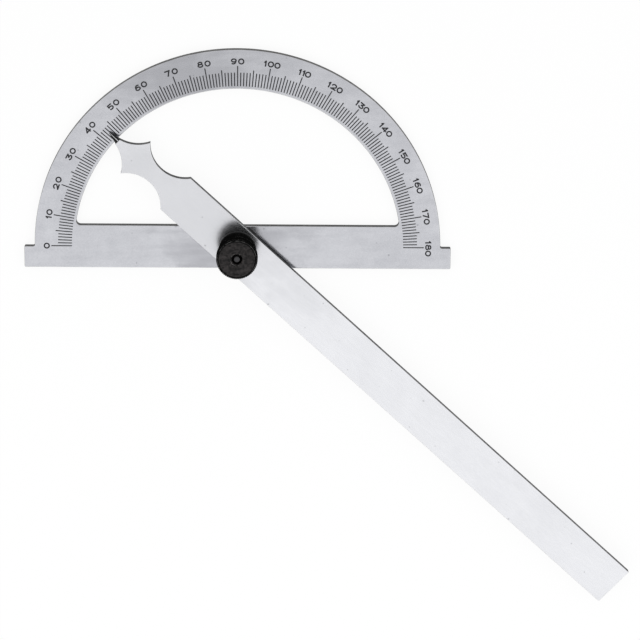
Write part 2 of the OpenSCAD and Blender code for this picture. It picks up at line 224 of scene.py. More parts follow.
class StageSettings(bpy.types.PropertyGroup):
    """Camera, lamps and floor"""
    distance: length("Distance", "Distance from the camera to the pivot", 1056)
    tilt: turn("Tilt", "How far the camera leans to the arc's side", 18.4397)
    lean: turn("Lean", "How far the camera leans to the right", 0.4192)
    roll: turn("Roll", "Turn of the picture", -0.4528)
    lens: level("Lens", "Focal length for a sensor 36 wide", 201.3)
    across: number("Pivot across", "Place of the pivot right of the middle, in picture widths", -0.12876)
    up: number("Pivot up", "Place of the pivot above the middle, in picture widths", 0.11451)
    sky: level("Sky", "Level of the even light from above", 0.86)
    low_left: level("Low left", "Level of the light from low on the left, against the sky's", 0.1)
    low_right: level("Low right", "Level of the light from low on the right, against the sky's", 0.5)
    softbox: level("Softbox", "Level of the softbox", 0.45)
    side_boxes: level("Side softboxes", "Level of the two small softboxes beside it", 0.2)
    floor: colour("Floor", "Colour of the floor", 0.98, 0.98, 0.98)
    clear: share("Clear floor", "Share of plain white in the floor, against its shadow", 0.9)


def settings_of(context, part):
    return getattr(context.scene, "angle_finder_" + part)


# Plane figures

def flat(x, y):
    return Vector((x, y))


def left_of(run):
    return flat(-run.y, run.x)


def arc(x, y, rx, ry, start, end, steps):
    """Points of an oval arc about (x, y), between two angles in degrees"""
    angles = [math.radians(start + (end - start) * i / steps) for i in range(steps + 1)]
    return [flat(x + rx * math.cos(a), y + ry * math.sin(a)) for a in angles]


def bore_loop(diameter):
    """Outline of a round hole, clockwise, so that the metal is on its left"""
    return arc(0, 0, diameter / 2, diameter / 2, 0, 360, BORE_RUNS)[:-1][::-1]


def joined(*runs):
    """One closed loop of several runs of points, without doubled points"""
    points = []
    for point in (point for run in runs for point in run):
        if not points or (point - points[-1]).length > SAME_POINT:
            points.append(point)
    if (points[0] - points[-1]).length <= SAME_POINT:
        points.pop()
    return points


def mitres(loop):
    """Inward direction at each point of a loop with the metal on its left, with the length that keeps
    the edges parallel when the loop is drawn in"""
    found = []
    for i, here in enumerate(loop):
        a = left_of((here - loop[i - 1]).normalized())
        b = left_of((loop[(i + 1) % len(loop)] - here).normalized())
        found.append((a + b) / (1 + a.dot(b)))
    return found


def drawn_in(loop, by):
    return [point + mitre * by for point, mitre in zip(loop, mitres(loop))]


def widened(hole, by):
    """Outline of a hole, widened into the metal and turned the other way round"""
    return drawn_in(hole, by)[::-1]


def rounded(corners):
    """A profile with its corners rounded. A corner is (across, height, radius), and a point of the
    profile is (across, height, edge), with edge 1 on the rounding"""
    profile = []
    for i, (across, height, radius) in enumerate(corners):
        here = flat(across, height)
        if radius == 0 or i in (0, len(corners) - 1):
            profile.append((across, height, 0))
            continue
        back = (flat(*corners[i - 1][:2]) - here).normalized()
        on = (flat(*corners[i + 1][:2]) - here).normalized()
        half = back.angle(on) / 2
        reach = radius / math.tan(half)
        centre = here + (back + on).normalized() * radius / math.sin(half)
        start = here + back * reach - centre
        end = here + on * reach - centre
        sweep_angle = math.atan2(start.x * end.y - start.y * end.x, start.dot(end))
        first = math.atan2(start.y, start.x)
        before, after = here + back * (reach + BAND), here + on * (reach + BAND)
        profile.append((before.x, before.y, 0))
        for k in range(ROUNDING_RUNS + 1):
            a = first + sweep_angle * k / ROUNDING_RUNS
            profile.append((centre.x + radius * math.cos(a), centre.y + radius * math.sin(a), 1))
        profile.append((after.x, after.y, 0))
    return profile


def split_face(outer, holes, patterns=()):
    """Cuts a flat face into triangles. Gives the points, and the triangles of bare face under "face"
    and those of each pattern under its name"""
    rings = [outer, *holes, *(outline for _, outline in patterns)]
    points, loops = [], []
    for outline in rings:
        loops.append(list(range(len(points), len(points) + len(outline))))
        points.extend(outline)
    made, _, triangles, origins, _, sources = delaunay_2d_cdt(points, [], loops, 1, 1e-9)
    made = [points[origin[0]] if origin else point for point, origin in zip(made, origins)]
    first = 1 + len(holes)
    parts = {"face": []}
    for triangle, source in zip(triangles, sources):
        if 0 not in source or any(0 < index < first for index in source):
            continue
        name = next((patterns[index - first][0] for index in source if index >= first), "face")
        parts.setdefault(name, []).append(triangle)
    return made, parts


# Shells

# Numbers of a piece's two finishes
FACE, WALL = 0, 1


class Shell:
    """Points and faces of a piece while it is made. Each face has the number of its finish"""

    def __init__(self):
        self.points, self.edges, self.faces, self.finishes, self.known = [], [], [], [], {}

    def point(self, x, y, z, edge=0):
        key = tuple(round(part * WELD_PARTS) for part in (x, y, z))
        if key not in self.known:
            self.known[key] = len(self.points)
            self.points.append((x, y, z))
            self.edges.append(edge)
        return self.known[key]

    def face(self, corners, finish=FACE):
        corners = [corner for i, corner in enumerate(corners) if corner != corners[i - 1]]
        if len(set(corners)) >= 3:
            self.faces.append(corners)
            self.finishes.append(finish)

    def grid(self, rows, finish):
        """Faces between rows of points, which are closed lists of point numbers"""
        for row, (low, high) in enumerate(zip(rows, rows[1:])):
            for i in range(len(low)):
                j = (i + 1) % len(low)
                self.face([low[i], low[j], high[j], high[i]], finish(row, i))

    def sweep(self, loop, profile):
        """Draws a profile along a loop with the metal on its left. Steep strips get the wall finish, so the
        outer half of a rounded edge is painted dark: painted shade
        """
        ways = mitres(loop)
        rows = [[self.point(p.x - way.x * across, p.y - way.y * across, height, edge)
                 for p, way in zip(loop, ways)] for across, height, edge in profile]
        steep = [abs(a[0] - b[0]) < abs(a[1] - b[1]) for a, b in zip(profile, profile[1:])]
        self.grid(rows, lambda row, i: WALL if steep[row] else FACE)

    def lathe(self, profile, steps, cut=None, finish=FACE):
        """Turns a profile of (radius, height, edge) around the axis. Cut gives the most that is left
        at each step"""
        rows = []
        for radius, height, edge in profile:
            row = []
            for i in range(steps):
                a = 2 * math.pi * i / steps
                r = min(radius, cut(i)) if cut else radius
                row.append(self.point(r * math.cos(a), r * math.sin(a), height, edge))
            rows.append(row)
        self.grid(rows, lambda row, i: finish)

    def cap(self, points, triangles, height, up=True):
        for triangle in triangles:
            corners = [self.point(points[i].x, points[i].y, height) for i in triangle]
            self.face(corners if up else corners[::-1])

    def rim(self, points, triangles, low, high, outward=True):
        """Upright walls along the border of some triangles"""
        runs = {(t[i], t[(i + 1) % 3]) for t in triangles for i in range(3)}
        for a, b in runs:
            if (b, a) not in runs:
                if not outward:
                    a, b = b, a
                corners = [(a, low), (b, low), (b, high), (a, high)]
                self.face([self.point(points[i].x, points[i].y, z) for i, z in corners])


def add_object(name, data):
    made = bpy.data.objects.new(name, data)
    bpy.context.scene.collection.objects.link(made)
    return made


def make_piece(name, shell, materials, body, nodes, place=None):
    """Makes an object of a shell, rides it on its body, and lets it stand for its CAD nodes"""
    mesh = bpy.data.meshes.new(name)
    mesh.from_pydata(shell.points, [], shell.faces)
    mesh.polygons.foreach_set("material_index", shell.finishes)
    mesh.polygons.foreach_set("use_smooth", [True] * len(shell.faces))
    mesh.attributes.new("edge", "FLOAT", "POINT").data.foreach_set("value", shell.edges)
    mesh.set_sharp_from_angle(angle=SMOOTH_ANGLE)
    for material in materials:
        mesh.materials.append(material)
    mesh.update()
    piece = add_object(name, mesh)
    if place:
        piece.matrix_world = place
    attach(piece, body)
    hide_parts(*nodes)
    return piece


# Shader nodes

def put_in(tree, socket, value):
    """Feeds an input from an output socket, or sets it to a value"""
    if isinstance(value, bpy.types.NodeSocket):
        tree.links.new(value, socket)
    else:
        socket.default_value = value


def feed(tree, node, **inputs):
    """Feeds or sets inputs of a node. A space in an input's name is written _"""
    for name, value in inputs.items():
        put_in(tree, node.inputs[name.replace("_", " ")], value)


def add(tree, kind, inputs=None, **options):
    """Adds a node. Its inputs are given by name or number"""
    made = tree.nodes.new(kind)
    for option, value in options.items():
        setattr(made, option, value)
    for key, value in (inputs or {}).items():
        put_in(tree, made.inputs[key], value)
    return made


def math_node(tree, operation, *values):
    return add(tree, "ShaderNodeMath", dict(enumerate(values)), operation=operation).outputs[0]


def weighted(tree, *parts):
    """Sum of values, each given with its weight"""
    terms = [math_node(tree, "MULTIPLY", value, weight) for value, weight in parts]
    return reduce(lambda total, term: math_node(tree, "ADD", total, term), terms)


def ranged(tree, value, low, high, to_low=0, to_high=1):
    return add(tree, "ShaderNodeMapRange", {"Value": value, "From Min": low, "From Max": high,
                                            "To Min": to_low, "To Max": to_high}).outputs[0]


def mixed(tree, factor, first, second):
    return add(tree, "ShaderNodeMix", {0: factor, 6: first, 7: second}, data_type="RGBA").outputs[2]


def scaled(tree, vector, by):
    return add(tree, "ShaderNodeVectorMath", {0: vector, "Scale": by}, operation="SCALE").outputs[0]


def noise(tree, place, detail, scale=1.0, **more):
    inputs = {"Vector": place, "Scale": scale, "Detail": detail, **more}
    return add(tree, "ShaderNodeTexNoise", inputs).outputs[0]


def ring_noise(tree, count, detail, scale=1.0):
    return add(tree, "ShaderNodeTexNoise", {"W": count, "Scale": scale, "Detail": detail},
               noise_dimensions="1D").outputs[0]


def bump(tree, height, distance, strength):
    inputs = {"Height": height, "Distance": distance, "Strength": strength}
    return add(tree, "ShaderNodeBump", inputs).outputs[0]


# Effects that the materials share, as shader node groups

def new_group(name, values, outputs):
    """A shader node group that takes a position and some values, and its two ends"""
    tree = bpy.data.node_groups.new(name, "ShaderNodeTree")
    tree.interface.new_socket("Position", in_out="INPUT", socket_type="NodeSocketVector")
    for direction, sockets in (("INPUT", values), ("OUTPUT", outputs)):
        for socket in sockets:
            tree.interface.new_socket(socket, in_out=direction, socket_type="NodeSocketFloat")
    return tree, tree.nodes.new("NodeGroupInput").outputs, tree.nodes.new("NodeGroupOutput")


def measured_in(tree, start, size):
    """A group's position, measured in one of its sizes"""
    return scaled(tree, start["Position"], math_node(tree, "DIVIDE", 1.0, start[size]))


def grain_group():
    """Fine grain of a satin face, drawn out along X: tone and height, both around a half"""
    tree, start, end = new_group("satin_grain", ["Grain Size", "Stretch"], ["Tone", "Height"])
    finer = math_node(tree, "DIVIDE", 1.0, start["Grain Size"])
    along = math_node(tree, "DIVIDE", finer, start["Stretch"])
    scale = add(tree, "ShaderNodeCombineXYZ", {"X": along, "Y": finer, "Z": finer}).outputs[0]
    place = add(tree, "ShaderNodeVectorMath", {0: start["Position"], 1: scale},
                operation="MULTIPLY").outputs[0]
    coarse = noise(tree, place, detail=2, scale=0.35)
    fine = noise(tree, place, detail=3, Roughness=0.6)
    feed(tree, end, Tone=ranged(tree, weighted(tree, (coarse, 0.6), (fine, 0.4)), 0.32, 0.68), Height=fine)
    return tree


def cloud_group():
    """Broad clouds and wiped streaks on a handled metal face: tone from 0 to 1"""
    tree, start, end = new_group("handled_clouds", ["Cloud Size", "Streaks"], ["Tone"])
    place = measured_in(tree, start, "Cloud Size")
    cloud = noise(tree, place, detail=3, Roughness=0.55, Distortion=0.6)
    slanted = add(tree, "ShaderNodeMapping", {"Vector": place, "Rotation": (0, 0, 0.6),
                                              "Scale": (0.7, 4.5, 1)}).outputs[0]
    streak = math_node(tree, "SUBTRACT", noise(tree, slanted, detail=2), 0.5)
    both = math_node(tree, "ADD", cloud, math_node(tree, "MULTIPLY", start["Streaks"], streak))
    feed(tree, end, Tone=ranged(tree, both, 0.3, 0.7))
    return tree


def wear_group():
    """Rubbed edges and painted highlights on them: a mask that is strong where the mesh's edge attribute
    is, and broken up by noise
    """
    tree, start, end = new_group("edge_wear_and_glints", ["Patch Size", "Amount"], ["Mask"])
    edge = add(tree, "ShaderNodeAttribute", attribute_name="edge").outputs["Fac"]
    patch = noise(tree, measured_in(tree, start, "Patch Size"), detail=3)
    broken = ranged(tree, patch, 0.35, 0.6, 0.35, 1)
    strong = math_node(tree, "MULTIPLY", edge, start["Amount"])
    feed(tree, end, Mask=math_node(tree, "MULTIPLY", strong, broken))
    return tree


def lathe_group():
    """Turned face: fine rings about the axis, as tone and height around a half"""
    tree, start, end = new_group("turned_rings", ["Ring Pitch"], ["Tone", "Height"])
    apart = add(tree, "ShaderNodeSeparateXYZ", {0: start["Position"]}).outputs
    across = add(tree, "ShaderNodeCombineXYZ", {"X": apart["X"], "Y": apart["Y"]}).outputs[0]
    radius = add(tree, "ShaderNodeVectorMath", {0: across}, operation="LENGTH").outputs["Value"]
    count = math_node(tree, "DIVIDE", radius, start["Ring Pitch"])
    feed(tree, end, Tone=ring_noise(tree, count, detail=1, scale=0.23),
         Height=ring_noise(tree, count, detail=2))
    return tree


def speck_group():
    """Sparse small specks on a face, of uneven size: a mask that is 1 inside them"""
    tree, start, end = new_group("small_specks", ["Spacing", "Speck Size"], ["Mask"])
    cells = add(tree, "ShaderNodeTexVoronoi", {"Vector": measured_in(tree, start, "Spacing"), "Scale": 1.0},
                voronoi_dimensions="2D").outputs
    away = math_node(tree, "MULTIPLY", cells["Distance"], start["Spacing"])
    uneven = add(tree, "ShaderNodeSeparateColor", {0: cells["Color"]}).outputs[0]
    size = math_node(tree, "MULTIPLY", uneven, start["Speck Size"])
    feed(tree, end, Mask=ranged(tree, away, math_node(tree, "MULTIPLY", size, 0.3), size, 1, 0))
    return tree


GROUPS = {"satin_grain": grain_group, "handled_clouds": cloud_group, "edge_wear_and_glints": wear_group,
          "turned_rings": lathe_group, "small_specks": speck_group}


def use_group(tree, name, position, **values):
    """Adds a shared effect, whose group is built once. Gives its outputs"""
    group = bpy.data.node_groups.get(name) or GROUPS[name]()
    made = add(tree, "ShaderNodeGroup", node_tree=group)
    feed(tree, made, Position=position, **values)
    return made.outputs


# Materials

# Share of a steel face's colour that is left in a small speck
SPECK_TONE = 0.7
# Heights on a side wall between which it turns brighter towards the face: painted shade that is deepest at
# the wall's foot
WALL_BRIGHTENS = 0.9 * MM, 2 * MM
# How far the roughness of a satin face goes up and down with its tone, and how far wear smooths it
ROUGHNESS_SPREAD, WORN_SMOOTHER = 0.03, 0.05
# Shares of a painted shade patch's width at which it begins to fade and is gone, and by which clouds push
# its outline in, and the strength of its middle
PATCH_FADES, PATCH_GONE, PATCH_CLOUDS, PATCH_STRENGTH = 0.3, 0.7, 0.25, 0.75


def new_material(name, **fixed):
    """A material with a Principled shader whose fixed inputs are set"""
    material = bpy.data.materials.new(name)
    material.use_nodes = True
    tree = material.node_tree
    shader = tree.nodes["Principled BSDF"]
    feed(tree, shader, **fixed)
    return material, tree, shader


def new_surface(name, **fixed):
    """A new material, and the position on the piece that has it"""
    material, tree, shader = new_material(name, **fixed)
    return material, tree, shader, add(tree, "ShaderNodeTexCoord").outputs["Object"]


def toned(base, times, plus=0):
    """A colour made darker or lighter"""
    return [min(1, part * times + plus) for part in base[:3]] + [1]


def dull_patch(tree, position, clouds, x, y, width):
    """Mask of a patch of painted shade about (x, y), with a cloudy outline"""
    away = add(tree, "ShaderNodeVectorMath", {0: position, 1: (x, y, 0)},
               operation="DISTANCE").outputs["Value"]
    spread = math_node(tree, "ADD", away, math_node(tree, "MULTIPLY", clouds, width * PATCH_CLOUDS))
    return ranged(tree, spread, width * PATCH_FADES, width * PATCH_GONE, PATCH_STRENGTH, 0)


def satin_steel(name, sheet, stretch, cloud_size, streaks, patches):
    """Satin face of a steel sheet: fine grain, broad clouds, specks, bright edges that are partly wear and
    partly painted highlight, and darker patches of painted shade, each given as (x, y, width)"""
    material, tree, shader, position = new_surface(name, Metallic=1.0)
    grain = use_group(tree, "satin_grain", position, Grain_Size=0.16 * MM, Stretch=stretch)
    clouds = use_group(tree, "handled_clouds", position, Cloud_Size=cloud_size, Streaks=streaks)["Tone"]
    rubbed_and_glinting = use_group(tree, "edge_wear_and_glints", position, Patch_Size=3 * MM, Amount=0.7)["Mask"]
    specks = use_group(tree, "small_specks", position, Spacing=9 * MM, Speck_Size=0.45 * MM)["Mask"]
    tone = weighted(tree, (clouds, 0.5), (grain["Tone"], 0.5))
    face = mixed(tree, tone, sheet.steel_dark, sheet.steel)
    # Painted shade: darker steel in each patch
    for patch in patches:
        face = mixed(tree, dull_patch(tree, position, clouds, *patch), face, sheet.steel_dull)
    face = mixed(tree, specks, face, scaled(tree, face, SPECK_TONE))
    rough = ranged(tree, tone, 0.1, 0.9, sheet.roughness + ROUGHNESS_SPREAD,
                   sheet.roughness - ROUGHNESS_SPREAD)
    smoother = math_node(tree, "MULTIPLY", rubbed_and_glinting, WORN_SMOOTHER)
    # Painted highlight, partly wear: brighter steel on the rounded edges
    feed(tree, shader, Base_Color=mixed(tree, rubbed_and_glinting, face, sheet.steel_edge),
         Roughness=math_node(tree, "SUBTRACT", rough, smoother),
         Normal=bump(tree, grain["Height"], distance=0.003 * MM, strength=0.5))
    return material


def sawn_steel(name, sheet, axis, light_at, dark_at):
    """Dull side wall of a cut steel sheet, with the upright traces of the cut. Its near-black colour is
    partly a darker cut finish and partly painted shade; its darkening along an axis and towards its foot is
    painted shade"""
    material, tree, shader, position = new_surface(name, Metallic=1.0)
    upright = add(tree, "ShaderNodeMapping", {"Vector": position,
                                              "Rotation": (0, math.pi / 2, 0)}).outputs[0]
    grain = use_group(tree, "satin_grain", upright, Grain_Size=0.15 * MM, Stretch=12)
    clouds = use_group(tree, "handled_clouds", position, Cloud_Size=6 * MM, Streaks=0.3)["Tone"]
    tone = weighted(tree, (clouds, 0.5), (grain["Tone"], 0.8))
    place = add(tree, "ShaderNodeSeparateXYZ", {0: position}).outputs
    # Painted shade: darker towards one end of the axis, and towards the wall's foot
    light = mixed(tree, ranged(tree, place[axis], dark_at, light_at), sheet.cut_edge_dark, sheet.cut_edge)
    light = mixed(tree, ranged(tree, place["Z"], *WALL_BRIGHTENS), light, sheet.cut_edge_top)
    feed(tree, shader, Base_Color=mixed(tree, tone, scaled(tree, light, 0.5), light),
         Roughness=ranged(tree, tone, 0.2, 1.0, 0.5, 0.4),
         Normal=bump(tree, grain["Height"], distance=0.02 * MM, strength=0.6))
    return material


def filling_paint(name, filling):
    """Black filling of the engraving, a little rough and dusty"""
    material, tree, shader, position = new_surface(name, Specular_IOR_Level=0.3)
    grain = use_group(tree, "satin_grain", position, Grain_Size=0.05 * MM, Stretch=1)
    dust = ranged(tree, grain["Tone"], 0.35, 0.75)
    feed(tree, shader, Base_Color=mixed(tree, dust, filling, toned(filling, 2.2, 0.004)),
         Roughness=ranged(tree, grain["Tone"], 0.3, 0.7, 0.5, 0.68),
         Normal=bump(tree, grain["Height"], distance=0.01 * MM, strength=0.5))
    return material


def washer_plastic(name, washer):
    """Matt black plastic of the washers, with a fine moulded grain"""
    material, tree, shader, position = new_surface(name, Specular_IOR_Level=0.15)
    grain = use_group(tree, "satin_grain", position, Grain_Size=0.1 * MM, Stretch=1)
    rubbed_and_glinting = use_group(tree, "edge_wear_and_glints", position, Patch_Size=1.5 * MM, Amount=0.6)["Mask"]
    # Lighter on the rounded edges, in patches
    feed(tree, shader, Base_Color=mixed(tree, rubbed_and_glinting, washer, toned(washer, 2.5, 0.008)),
         Roughness=ranged(tree, grain["Tone"], 0.3, 0.7, 0.42, 0.55),
         Normal=bump(tree, grain["Height"], distance=0.01 * MM, strength=0.4))
    return material


def black_metal(name, clamp, film_colour, shine, roughness, patchy):
    """Black finish of the nut: turned rings, a film in blotches, and rubbed knurls and edges whose lighter
    colour is partly painted highlight
    """
    material, tree, shader, position = new_surface(name, Specular_IOR_Level=shine)
    rings = use_group(tree, "turned_rings", position, Ring_Pitch=0.2 * MM)
    grain = use_group(tree, "satin_grain", position, Grain_Size=0.15 * MM, Stretch=1)
    film = use_group(tree, "handled_clouds", position, Cloud_Size=0.9 * MM, Streaks=0.4)["Tone"]
    rubbed_and_glinting = use_group(tree, "edge_wear_and_glints", position, Patch_Size=1.1 * MM, Amount=0.9)["Mask"]
    tone = weighted(tree, (film, patchy), (rings["Tone"], 0.6), (grain["Tone"], 0.25))
    face = mixed(tree, ranged(tree, tone, 0.5, 1.15), clamp.black, film_colour)
    heights = weighted(tree, (rings["Height"], 0.7), (grain["Height"], 0.5))
    # Painted highlight, partly wear: lighter knurls and edges
    feed(tree, shader, Base_Color=mixed(tree, ranged(tree, rubbed_and_glinting, 0.45, 0.85), face, clamp.worn),
         Roughness=ranged(tree, tone, 0.2, 1.0, roughness - 0.06, roughness + 0.08),
         Normal=bump(tree, heights, distance=0.02 * MM, strength=0.7))
    return material


def turned_steel(name, stud):
    """Turned steel of the stud, with brighter edges that are partly wear and partly painted highlight"""
    material, tree, shader, position = new_surface(name, Metallic=1.0)
    rings = use_group(tree, "turned_rings", position, Ring_Pitch=0.06 * MM)
    rubbed_and_glinting = use_group(tree, "edge_wear_and_glints", position, Patch_Size=0.8 * MM, Amount=0.7)["Mask"]
    face = mixed(tree, ranged(tree, rings["Tone"], 0.35, 0.65), toned(stud, 0.7), stud)
    feed(tree, shader, Base_Color=mixed(tree, rubbed_and_glinting, face, toned(stud, 1.4)),
         Roughness=ranged(tree, rings["Tone"], 0.3, 0.7, 0.32, 0.22),
         Normal=bump(tree, rings["Height"], distance=0.006 * MM, strength=0.6))
    return material


# The dial and its scale

# How many straight runs draw the tab's fillets, the arc, the window's fillets and the window's arc
TAB_FILLET_RUNS, ARC_RUNS, WINDOW_FILLET_RUNS, WINDOW_ARC_RUNS = 8, 360, 12, 240


def plate_loop(dial):
    """Outline of the plate: the base with its end tabs, and the arc above it"""
    end, corner, fillet = plate_high.x, dial.base_corner, dial.tab_fillet
    top, foot, radius = -dial.tab_drop, plate_low.y, dial.arc_radius
    fillet_y = top + fillet
    fillet_x = math.sqrt((radius + fillet) ** 2 - fillet_y ** 2)
    rise = math.degrees(math.atan2(fillet_y, fillet_x))
    return joined(
        arc(-end + corner, foot + corner, corner, corner, 180, 270, CORNER_RUNS),
        arc(end - corner, foot + corner, corner, corner, 270, 360, CORNER_RUNS),
        arc(end - corner, top - corner, corner, corner, 0, 90, CORNER_RUNS),
        arc(fillet_x, fillet_y, fillet, fillet, 270, 180 + rise, TAB_FILLET_RUNS),
        arc(0, 0, radius, radius, rise, 180 - rise, ARC_RUNS),
        arc(-fillet_x, fillet_y, fillet, fillet, -rise, -90, TAB_FILLET_RUNS),
        arc(-end + corner, top - corner, corner, corner, 90, 180, CORNER_RUNS))


def window_loop(dial):
    """Outline of the window, clockwise, so that the metal is on its left"""
    radius, fillet, foot = dial.arc_radius - dial.ring_width, dial.window_fillet, dial.base_above
    fillet_y = foot + fillet
    fillet_x = math.sqrt((radius - fillet) ** 2 - fillet_y ** 2)
    rise = math.degrees(math.atan2(fillet_y, fillet_x))
    return joined(
        arc(fillet_x, fillet_y, fillet, fillet, 270, 360 + rise, WINDOW_FILLET_RUNS),
        arc(0, 0, radius, radius, rise, 180 - rise, WINDOW_ARC_RUNS),
        arc(-fillet_x, fillet_y, fillet, fillet, 180 - rise, 270, WINDOW_FILLET_RUNS))[::-1]


LAST_DEGREE = 180
# How many straight runs draw a digit's bend and its closed bowl
BEND, BOWL = 14, 32
# Width of each digit, and the strokes and bowls that draw it in a box one high
DIGIT_WIDTHS = [1, 0.24, 0.98, 0.9, 0.98, 0.92, 0.92, 0.9, 0.92, 0.92]
DIGIT_STROKES = {
    1: [[(0.24, 0), (0.24, 1)], [(0.02, 0.78), (0.2, 0.96)]],
    2: [arc(0.47, 0.65, 0.45, 0.35, 165, -38, BEND) + [(0.12, 0.05)], [(0, 0), (0.98, 0)]],
    3: [[(0, 1), (0.84, 1)], [(0.8, 0.95), (0.42, 0.57)], arc(0.44, 0.29, 0.46, 0.29, 100, -155, BEND)],
    4: [[(0.66, 0.94), (0.06, 0.26)], [(0, 0.22), (0.98, 0.22)], [(0.72, 0), (0.72, 1)]],
    5: [[(0.08, 1), (0.86, 1)], [(0.08, 0.94), (0.06, 0.54)], arc(0.45, 0.31, 0.47, 0.31, 126, -128, BEND)],
    6: [arc(0.58, 0.4, 0.54, 0.6, 66, 184, BEND)],
    7: [[(0, 1), (0.9, 1)], [(0.84, 0.94), (0.36, 0)]],
    9: [arc(0.34, 0.6, 0.54, 0.6, -114, 4, BEND)],
}
DIGIT_BOWLS = {
    0: [(0.5, 0.5, 0.5, 0.5)],
    6: [(0.46, 0.3, 0.46, 0.3)],
    8: [(0.46, 0.77, 0.37, 0.23), (0.46, 0.27, 0.46, 0.27)],
    9: [(0.46, 0.7, 0.46, 0.3)],
}


def stroke_pieces(path, width):
    """Four-cornered pieces of a stroke along an open path, with square ends"""
    path = [flat(*point) for point in path]
    runs = [(b - a).normalized() for a, b in zip(path, path[1:])]
    path[0] -= runs[0] * width / 2
    path[-1] += runs[-1] * width / 2
    sides = []
    for i in range(len(path)):
        a, b = runs[max(i - 1, 0)], runs[min(i, len(runs) - 1)]
        sides.append(left_of(a + b) / (1 + a.dot(b)) * width / 2)
    return [[p - s, q - t, q + t, p + s] for p, q, s, t in zip(path, path[1:], sides, sides[1:])]


def digit_pieces(value, high, stroke):
    """Four-cornered pieces of one digit, centred, with its line as high as given"""
    pieces = []
    for path in DIGIT_STROKES.get(value, []):
        pieces += stroke_pieces([(x * high, y * high) for x, y in path], stroke)
    for x, y, rx, ry in DIGIT_BOWLS.get(value, []):
        outer = arc(x * high, y * high, rx * high + stroke / 2, ry * high + stroke / 2, 0, 360, BOWL)
        inner = arc(x * high, y * high, rx * high - stroke / 2, ry * high - stroke / 2, 0, 360, BOWL)
        outer[-1], inner[-1] = outer[0], inner[0]
        pieces += [[outer[i], outer[i + 1], inner[i + 1], inner[i]] for i in range(BOWL)]
    middle = flat(DIGIT_WIDTHS[value] * high / 2, high / 2)
    return [[corner - middle for corner in piece] for piece in pieces]


def on_dial(piece, angle, radius):
    """Puts a piece on the dial at a scale angle, upright towards the rim"""
    turned = Matrix.Rotation(math.radians(90 - angle), 2)
    return [turned @ (corner + flat(0, radius)) for corner in piece]


def scale_patterns(dial, scale):
    """Name and outline of every piece of the engraving"""
    start = dial.arc_radius - dial.ring_width + scale.mark_gap
    half = scale.mark_width / 2
    patterns = []
    for angle in range(LAST_DEGREE + 1):
        name, long = (("ten_degree_marks", scale.ten_length) if angle % 10 == 0 else
                      ("five_degree_marks", scale.five_length) if angle % 5 == 0 else
                      ("degree_marks", scale.one_length))
        line = [flat(-half, 0), flat(half, 0), flat(half, long), flat(-half, long)]
        patterns.append((name, on_dial(line, angle, start)))
    radius = start + scale.ten_length + scale.number_gap + scale.number_height / 2
    high = scale.number_height - scale.stroke
    pitch = scale.digit_gap + scale.stroke
    for value in range(0, LAST_DEGREE + 1, 10):
        digits = [int(character) for character in str(value)]
        widths = [DIGIT_WIDTHS[digit] * high for digit in digits]
        last = len(digits) - 1
        closer, shift = (scale.digit_gap - scale.close_gap, scale.number_shift) if last == 2 else (0, 0)
        at = shift - (sum(widths) + pitch * last - closer) / 2
        for i, (digit, width) in enumerate(zip(digits, widths)):
            if i == last:
                at -= closer
            angle = value + math.degrees((at + width / 2) / radius)
            patterns += [("numbers", on_dial(piece, angle, radius))
                         for piece in digit_pieces(digit, high, scale.stroke)]
            at += width + pitch
    return patterns


def edge_profile(thickness, radius):
    """Profile of a sheet's edge, from its back to its face, with both corners rounded"""
    inner = -radius - 2 * BAND
    return rounded([(inner, 0, 0), (0, 0, radius), (0, thickness, radius), (inner, thickness, 0)])[1:-1]


def dial_face(dial, scale):
    """Triangles of the plate's face and of the engraving"""
    inset = dial.edge_radius + BAND
    holes = [widened(window_loop(dial), inset), widened(bore_loop(dial.bore), inset)]
    return split_face(drawn_in(plate_loop(dial), inset), holes, scale_patterns(dial, scale))


class ANGLEFINDER_OT_dial_plate(bpy.types.Operator):
    """Makes the dial plate, with rounded edges, window, engraving and the stud's recess"""
    bl_idname = "anglefinder.dial_plate"
    bl_label = "Dial Plate"

    def execute(self, context):
        dial, scale = settings_of(context, "dial"), settings_of(context, "scale")
        top = plate_high.z
        shell = Shell()
        profile = edge_profile(top, dial.edge_radius)
        outer, window, hole = plate_loop(dial), window_loop(dial), bore_loop(dial.bore)
        shell.sweep(outer, profile)
        shell.sweep(window, profile)
        wide = (dial.bore - dial.recess) / 2
        inset = dial.edge_radius + BAND
        recess = rounded([(wide - inset - BAND, 0, 0), (wide, 0, dial.edge_radius),
                          (wide, dial.recess_depth, 0), (0, dial.recess_depth, 0),
                          (0, top, dial.edge_radius), (-inset - BAND, top, 0)])[1:-1]
        shell.sweep(hole, recess)
        points, parts = dial_face(dial, scale)
        floor = top - scale.depth
        shell.cap(points, parts.pop("face"), top)
        for triangles in parts.values():
            shell.cap(points, triangles, floor)
            shell.rim(points, triangles, floor, top, outward=False)
        holes = [widened(window, inset), widened(hole, inset - wide)]
        back, back_parts = split_face(drawn_in(outer, inset), holes)
        shell.cap(back, back_parts["face"], 0, up=False)
        # Patches of painted shade: one on the ring at the patch angle, one around the pivot
        middle = dial.arc_radius - dial.ring_width / 2
        patch = on_dial([flat(0, 0)], math.degrees(dial.patch_angle), middle)[0]
        patches = [(patch.x, patch.y, dial.patch_width), (0, 0, dial.film_width)]
        face = satin_steel("dial_steel_face", dial, stretch=1, cloud_size=9 * MM, streaks=0.6,
                           patches=patches)
        # Side walls darker towards the base: painted shade
        wall = sawn_steel("dial_steel_wall", dial, axis="Y", light_at=dial.arc_radius / 2, dark_at=0)
        make_piece("dial_plate", shell, [face, wall], "dial", ["protractor_plate"])
        return {"FINISHED"}


